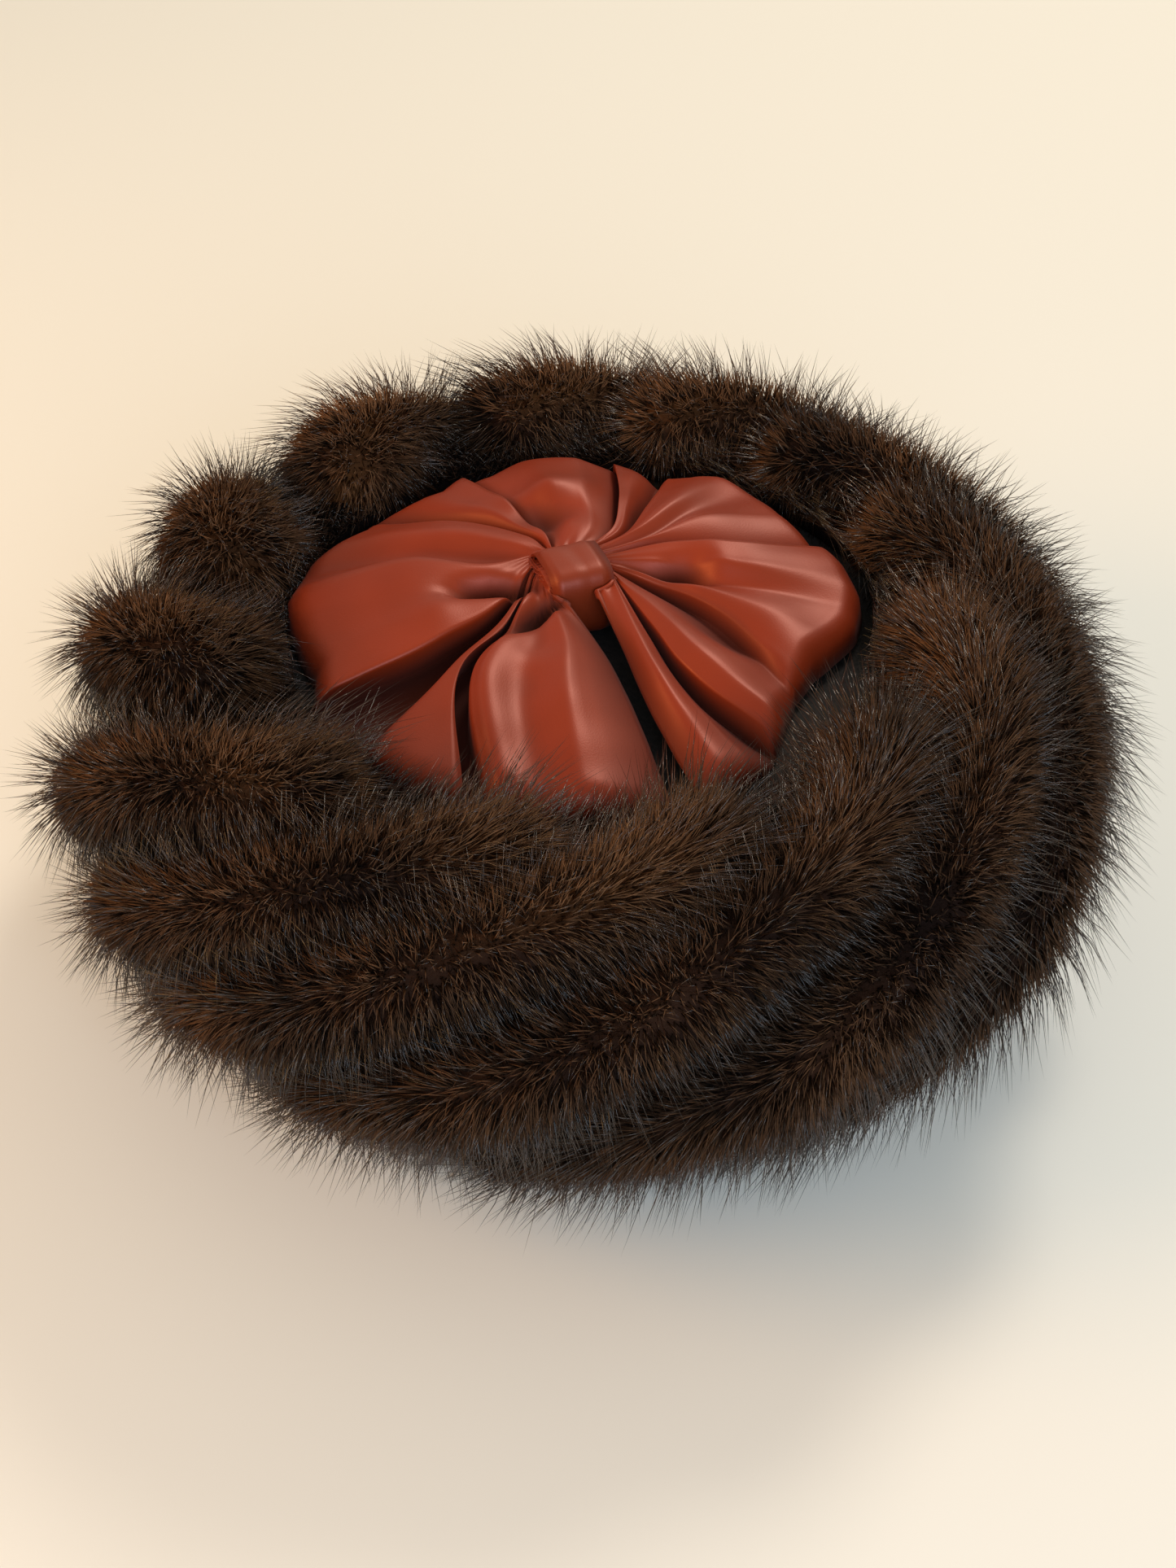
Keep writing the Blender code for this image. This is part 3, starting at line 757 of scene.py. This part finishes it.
rightLines = (
    ("hem under", 60, 68, 72, 79, 0.02, 0.05, 0.06, 0.10, 1.0),
    ("back flap edge", 68, 74, 77.5, 84, 0.34, 0.72, 0.95, 0.85, 1.0),
    ("back flap", 65, 70, 74, 79, 0.34, 0.70, 0.92, 0.85, 0.2),
    ("first valley", 61, 65, 68.5, 70.5, 0.08, 0.18, 0.28, 0.40, 2.0),
    ("round pleat edge", 60, 63, 65, 68, 0.34, 0.75, 0.98, 0.85, 0.6),
    ("round pleat", 57, 56, 55, 59, 0.40, 0.92, 1.25, 1.05, 0.0),
    ("round trough", 51, 49, 48, 45, 0.32, 0.72, 0.98, 0.95, 0.0),
    ("round second", 46, 44, 41, 31, 0.38, 0.88, 1.18, 0.95, 0.3),
    ("second valley", 42, 35, 22, 20, 0.14, 0.38, 0.50, 0.45, 1.6),
    ("lobe edge", 39, 29.5, 17.5, 16, 0.42, 0.98, 1.32, 1.00, 0.8),
    ("lobe belly", 30, 15, 6, 5, 0.42, 0.90, 1.22, 1.00, 0.0),
    ("lobe fold", 22, 3, -3, -5, 0.32, 0.42, 0.84, 0.88, 0.6),
    ("lobe front", 17, -4, -12, -18, 0.36, 0.72, 1.02, 0.92, 0.2),
    ("lobe low edge", 12, -9, -19, -33, 0.34, 0.58, 0.85, 0.75, 0.8),
    ("third valley", 11, -9, -22, -37, 0.00, 0.08, 0.40, 0.62, 1.2),
    ("spike ridge", 0, -42, -48, -46, 0.36, 0.84, 1.10, 0.76, 0.3),
    ("spike edge", -8, -50, -55.5, -49, 0.34, 0.66, 0.86, 0.55, 1.0),
    ("fourth valley", -9, -49, -54.5, -51.5, 0.00, 0.00, 0.00, 0.00, 1.2),
    ("ribbon right edge", -16, -56, -61, -58, 0.30, 0.58, 0.74, 0.46, 1.0),
    ("ribbon", -30, -63, -66, -64, 0.36, 0.74, 0.94, 0.60, 0.0),
    ("front gap", -56, -71, -72, -70.5, 0.16, 0.30, 0.40, 0.30, 1.0),
    ("hem below", -50, -64, -65, -64, 0.02, 0.04, 0.05, 0.05, 1.0),
)
# azimuth from the knot, distance of the satin's outline
satinOutline = np.array((
    (-90, 7.2), (-71, 7.2), (-54, 6.9), (-50, 6.6), (-42, 6.1), (-34, 5.8), (-24, 5.8),
    (-16, 6.1), (-8, 6.5), (1, 6.7), (11, 6.6), (22, 6.3), (34, 6.2), (44, 6.3), (55, 6.4),
    (62, 6.0), (72, 5.8), (84, 6.3), (94, 6.35), (108, 6.35), (116, 6.2), (123, 6.5),
    (130, 6.2), (137, 6.35), (146, 6.8), (152, 6.6), (160, 7.0), (167, 7.3), (180, 7.4),
    (190, 7.1), (202, 6.9), (213, 7.4), (222, 7.1), (235, 7.5), (252, 7.5), (290, 7.2),
))
# azimuth from the knot, distance, depth, size along and across the pleat
satinDents = (
    (108, 3.00, 0.42, 0.55, 0.80),
    (106, 4.05, -0.12, 0.40, 1.00),
    (193, 2.40, 0.80, 0.85, 0.26),
    (203, 3.80, -0.08, 0.50, 0.60),
    (229, 1.95, 0.60, 0.85, 0.22),
    (247, 3.40, -0.08, 0.45, 0.50),
    (8, 2.30, 0.42, 0.60, 0.36),
    (9, 3.10, -0.10, 0.40, 0.60),
    (331, 3.70, 0.25, 0.90, 0.50),
    (336, 5.00, -0.10, 0.80, 0.80),
)


def headings(azimuth):
    # cosine and sine of each azimuth
    turn = np.radians(azimuth)
    return np.stack([np.cos(turn), np.sin(turn)], -1)


def squaredReach(angle, radii, squareness):
    # distance from the middle to a rounded rectangle in the direction of an angle: each side's
    # share of the direction to a high power, added, and the root taken
    x = np.abs(np.cos(angle) / radii[0]) ** squareness
    y = np.abs(np.sin(angle) / radii[1]) ** squareness
    return (x + y) ** (-1 / squareness)


def aroundKnot(azimuth, spread):
    # the rounded rectangle that the satin keeps round the knot, times spread
    turn = np.radians(azimuth) - math.radians(satin["knotTurn"])
    reach = squaredReach(turn, satin["collarRadii"], satin["collarSquareness"])
    return np.array(satin["knotCentre"]) + (spread * reach)[..., None] * headings(azimuth)


def acrossLines(values, edges, along):
    # from one line to the next by a cubic whose end slopes are the lines' edge values
    number = np.clip(along.astype(int), 0, len(values) - 2)
    part = along - number
    slopeA, slopeB = edges[number], edges[number + 1]
    mix = (
        3 * part**2 - 2 * part**3
        + slopeA * (part**3 - 2 * part**2 + part) + slopeB * (part**3 - part**2)
    )
    return values[number] + (values[number + 1] - values[number]) * mix[:, None]


def fanStations(lines):
    # azimuths and heights of every column at the four stations, worked out across the lines
    table = np.array([line[1:] for line in lines], float)
    usual = satin["usualHeights"][0]
    table[:, 4] = usual + (table[:, 4] - usual) * satin["knotRelief"]
    along = np.linspace(0, len(lines) - 1, satin["columns"])
    azimuths = acrossLines(table[:, 0:4], np.ones(len(lines)), along)
    return azimuths, acrossLines(table[:, 4:8], table[:, 8], along)


def dentDepth(flat):
    # sum of soft oval hollows, each along its own azimuth from the knot
    depth = np.zeros(flat.shape[:-1])
    for azimuth, distance, deep, along, across in satinDents:
        heading = headings(azimuth)
        away = flat - np.array(satin["fanCentre"]) - heading * distance
        forward = away @ heading
        sideways = away @ np.array([-heading[1], heading[0]])
        depth += deep * np.exp(-((forward / along) ** 2) - (sideways / across) ** 2)
    return depth


def makeFan(lines, rootMiddle, rootSign):
    # rows run from the waist's end, over the collar, out to the rim, where the cloth turns down.
    # A point's place is a cubic through its column's four stations, drawn in to the crown's
    # oval; its height is a dome, plus the fold, gathers and waves, less the dents
    share = np.linspace(0, 1, satin["fanRows"])
    azimuths, heights = fanStations(lines)
    outline = np.interp(azimuths[:, 3], satinOutline[:, 0], satinOutline[:, 1])
    inner = satin["innerReach"]
    stations = [aroundKnot(azimuths[:, 0], 1 + satin["collarSpread"])]
    for k in (1, 2, 3):
        reach = inner + (outline - inner) * pleatStations[k]
        stations.append(np.array(satin["fanCentre"]) + headings(azimuths[:, k]) * reach[:, None])
    flat = smoothRead(pleatStations, np.stack(stations, -1), share).transpose(2, 0, 1)
    height = smoothRead(pleatStations, heights, share).T
    fromCrown = flat - crownMiddle
    reach = np.linalg.norm(fromCrown / crownRadii, axis=-1, keepdims=True)
    flat = flat - fromCrown * (1 - 1 / np.maximum(reach, 1))
    domeRise = satin["collarHeight"] - satin["rimHeight"]
    dome = satin["rimHeight"] + domeRise * (1 - share) ** satin["domePower"]
    fall = ease(share, satin["tuckFrom"], 1 - satin["tuckFrom"])
    puff = np.sqrt(1 - fall**2)[:, None]
    column = np.arange(satin["columns"])[None]
    gathers = np.sin(column * 0.83 + np.sin(column * 0.21))
    wrinkle = satin["wrinkle"] * gathers * np.exp(-share / 0.18)[:, None]
    x, y = flat[..., 0], flat[..., 1]
    wave = np.sin(x * 3.1 + y * 1.3) + np.sin(y * 4.3 - x * 1.9 + 1)
    up = dome[:, None] + (height + wrinkle + satin["drape"] * wave * share[:, None]) * puff
    dent = dentDepth(flat) * np.clip(height / 0.4, 0, 1)
    up = up - dent * puff
    fan = np.concatenate([flat, up[..., None]], -1)
    # 0 on a ridge to 1 deep in a fold, by the height against that of a usual fold and deeper in
    # the dents; the material darkens the cloth there as painted shade
    usual = np.interp(share, pleatStations, satin["usualHeights"])[:, None]
    hollow = np.clip(1 - (height - 1.5 * dent) / usual / 0.85, 0, 1) ** 0.75

    # from the waist's end to the fan, azimuth, reach and height going over evenly
    whole = np.linspace(0, 1, satin["columns"])
    rootAzimuth = rootMiddle + rootSign * satin["rootSpread"] * (1 - 2 * whole) + satin["knotTurn"]
    collar = []
    for part in np.linspace(0, 1, satin["collarRows"] + 1)[:-1]:
        azimuthHere = rootAzimuth + (azimuths[:, 0] - rootAzimuth) * part
        place = aroundKnot(azimuthHere, 1 + satin["collarSpread"] * part)
        rise = satin["rootHeight"] + (up[0] - satin["rootHeight"]) * part
        rise = rise + satin["rootArch"] * np.sin(np.pi * whole) * (1 - part)
        collar.append(np.concatenate([place, rise[:, None]], -1))
    # the collar rows get half the painted shade of the fan's first row
    hollow = np.concatenate([np.repeat(hollow[:1] * 0.5, len(collar), 0), hollow])
    return np.concatenate([np.array(collar), fan]), hollow


def makeSatinMaterial(name, colour):
    # rust cloth, a little uneven in colour, with fine threads raised by bump and a soft sheen,
    # darkened by painted shade and made rougher deep in the folds, both by the attribute hollow
    material, tree, shader = newMaterial(name)
    place, _ = addRelief(tree, shader, 2600.0, 1.0, 0.12, 0.0002)
    mottle = addNode(tree, "ShaderNodeTexNoise", Scale=35.0, Detail=3.0)
    hollow = addNode(tree, "ShaderNodeAttribute", attribute_name="hollow")
    deep = addNode(tree, "ShaderNodeMix", data_type="RGBA")
    rough = addNode(tree, "ShaderNodeMapRange")
    low, high, foldShadeColour = (
        tuple(value * strength for value in colour)
        for strength in (0.86, 1.10, satin["paintedFoldShade"])
    )
    ramp = addRamp(tree, ((0.30, low), (0.70, high)))
    # painted shade: the colour deep in the folds
    setInputs(deep, {"B": foldShadeColour + (1,)})
    setInputs(rough, {"To Min": satin["roughness"][0], "To Max": satin["roughness"][1]})
    setInputs(shader, {
        "Specular IOR Level": 0.70,
        "Specular Tint": (1.0, 0.44, 0.38, 1),
        "Sheen Weight": 0.04,
        "Sheen Roughness": 0.4,
        "Sheen Tint": (1.0, 0.55, 0.48, 1),
    })
    joinNodes(
        tree,
        (place, "Object", mottle, "Vector"), (mottle, "Fac", ramp, "Fac"),
        (ramp, "Color", deep, "A"), (hollow, "Fac", deep, "Factor"),
        (deep, "Result", shader, "Base Color"),
        (hollow, "Fac", rough, "Value"), (rough, "Result", shader, "Roughness"),
    )
    return material


def makeBow(material):
    # left fan, waist and right fan as one sheet; the waist's rows go evenly from one fan's
    # first row to the other's
    left, leftHollow = makeFan(leftLines, 180, -1)
    right, rightHollow = makeFan(rightLines, 0, 1)
    parts = np.linspace(0, 1, satin["waistRows"] + 2)[1:-1, None, None]
    waist = (1 - parts) * left[:1] + parts * right[:1]
    rows = np.concatenate([left[::-1], waist, right])
    flatWaist = np.zeros((len(waist), satin["columns"]))
    hollow = np.concatenate([leftHollow[::-1], flatWaist, rightHollow])
    rowStep = np.linalg.norm(np.diff(rows, axis=0), axis=-1)
    columnStep = np.linalg.norm(np.diff(rows, axis=1), axis=-1)
    v = np.concatenate([[0], np.cumsum(rowStep.mean(1))])
    u = np.concatenate([[0], np.cumsum(columnStep.mean(0))])
    uv = np.stack(np.meshgrid(v, u, indexing="ij"), -1).reshape(-1, 2) * cm
    quads = gridQuads(len(rows), satin["columns"])
    piece = meshPiece("satin_bow_cloth", toFrame(rows.reshape(-1, 3)), quads, material, uv)
    # the attribute hollow, read by the material for the painted shade in the folds
    layer = piece.data.attributes.new("hollow", "FLOAT", "POINT")
    layer.data.foreach_set("value", hollow.ravel().astype(np.float32))
    wall = piece.modifiers.new("thickness", "SOLIDIFY")
    wall.thickness = satin["thickness"] * cm
    wall.offset = -1
    return piece


# lengths in cm
knot = {
    "width": 1.58,
    "depth": 1.76,
    "top": 9.62,
    "bottom": 7.64,
    "squareness": 4.0,
    "wall": 0.15,
    "edgeSquareness": 6.0,  # of the strip's own section
    "waist": 0.035,  # how far its middle is drawn in
    "crease": 0.012,
    "around": 96,
    "section": 40,
}


def makeKnot(material):
    # a rounded strip section carried round a rounded rectangle that stands across the waist:
    # the rectangle's reach, less the inset of the section's point, times cosine and sine
    middle = (knot["top"] + knot["bottom"]) / 2
    angle = np.linspace(0, 2 * np.pi, knot["around"], endpoint=False)[:, None]
    ring = np.linspace(0, 2 * np.pi, knot["section"], endpoint=False)[None]
    halfWidth = knot["width"] / 2
    stripReach = squaredReach(ring, (halfWidth, knot["wall"] / 2), knot["edgeSquareness"])
    station = stripReach * np.cos(ring)
    lift = stripReach * np.sin(ring)
    waisted = knot["waist"] * (1 - (station / halfWidth) ** 2)
    crease = knot["crease"] * np.sin(station * 9.0 + np.sin(angle * 2))
    inset = knot["wall"] / 2 - lift + waisted + crease * (lift > 0)
    half = (knot["depth"] / 2, (knot["top"] - knot["bottom"]) / 2)
    reach = squaredReach(angle, half, knot["squareness"]) - inset
    across = reach * np.cos(angle)
    height = middle + reach * np.sin(angle)
    turn = math.radians(satin["knotTurn"])
    station = np.broadcast_to(station, across.shape)
    points = np.stack([
        satin["knotCentre"][0] + station * math.cos(turn) - across * math.sin(turn),
        satin["knotCentre"][1] + station * math.sin(turn) + across * math.cos(turn),
        height,
    ], -1)
    quads = gridQuads(knot["around"], knot["section"], True, True)
    piece = meshPiece("knot_loop", toFrame(points.reshape(-1, 3)), quads, material)
    return piece


bow = makeBow(makeSatinMaterial("rustSatin", satin["colour"]))
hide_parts("satin_bow")
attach(bow, "root")
knotLoop = makeKnot(makeSatinMaterial("rustKnotSatin", satin["knotColour"]))
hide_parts("knot_band")
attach(knotLoop, "root")
print("satin made")


def makeCapMaterial():
    # near-black cloth, its colour and a fine nap both from one noise
    material, tree, shader = newMaterial("capCloth")
    _, nap = addRelief(tree, shader, 900.0, 3.0, 0.5, 0.0004)
    ramp = addRamp(tree, ((0.35, (0.007, 0.006, 0.006)), (0.70, (0.020, 0.015, 0.014))))
    setInputs(shader, {"Roughness": 0.92})
    joinNodes(tree, (nap, "Fac", ramp, "Fac"), (ramp, "Color", shader, "Base Color"))
    return material


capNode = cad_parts["crown_cap"]
capNode.data.materials.clear()
capNode.data.materials.append(makeCapMaterial())
print("cap made")


# lengths in cm
studio = {
    "floorColour": (0.84, 0.81, 0.75),
    "floorReach": 1500,
    "elevation": 41.0,
    "distance": 50.0,
    "aim": (0.0, 0.0, 3.95),
    "lens": 45.77,
    "lampAim": (0, 0, 4),
    "skyColour": (1.0, 0.96, 0.82),
    "skyStrength": 0.47,
}
# name, place, size, power in watts, colour
lamps = (
    ("window", (60, 110, 140), 55, 14.0, (1.0, 0.90, 0.76)),
    ("wall", (-90, -20, 50), 60, 6.0, (1.0, 0.52, 0.16)),
    ("fill", (30, -115, 60), 90, 12.0, (0.66, 0.82, 1.0)),
)


def makeFloor():
    # one square about the origin, as far each way as the floor's reach
    material, _, shader = newMaterial("paleFloor")
    setInputs(shader, {"Base Color": (*studio["floorColour"], 1), "Roughness": 0.7})
    corners = np.array([(-1, -1, 0), (1, -1, 0), (1, 1, 0), (-1, 1, 0)], float)
    points = toFrame(corners * studio["floorReach"])
    floor = meshPiece("floor", points, np.array([[0, 1, 2, 3]]), material)


def aimAt(item, place, target):
    # the item's -Z axis along target minus place
    item.location = toFrame(place).tolist()
    item.rotation_mode = "QUATERNION"
    away = Vector(np.subtract(place, target).tolist())
    item.rotation_quaternion = away.to_track_quat("Z", "Y")


def makeLamps():
    # a round lamp for each row, turned to the crown
    for name, place, size, power, colour in lamps:
        data = bpy.data.lights.new(name, "AREA")
        data.shape = "DISK"
        data.size = size * cm
        data.energy = power
        data.color = colour
        lamp = bpy.data.objects.new(name, data)
        bpy.context.scene.collection.objects.link(lamp)
        aimAt(lamp, place, studio["lampAim"])


def makeCamera():
    # the distance back from the aim, at the elevation over the floor
    data = bpy.data.cameras.new("camera")
    data.lens = studio["lens"]
    camera = bpy.data.objects.new("camera", data)
    bpy.context.scene.collection.objects.link(camera)
    rise = math.radians(studio["elevation"])
    back = np.array([0, -math.cos(rise), math.sin(rise)]) * studio["distance"]
    aimAt(camera, np.array(studio["aim"]) + back, studio["aim"])
    bpy.context.scene.camera = camera


def makeSky():
    # one even colour from all round
    world = bpy.data.worlds.new("studio")
    world.use_nodes = True
    sky = {"Color": (*studio["skyColour"], 1), "Strength": studio["skyStrength"]}
    setInputs(world.node_tree.nodes["Background"], sky)
    bpy.context.scene.world = world


makeFloor()
makeLamps()
makeCamera()
makeSky()
bpy.context.scene.view_settings.view_transform = "Standard"
print("stage made")

bpy.context.view_layer.update()
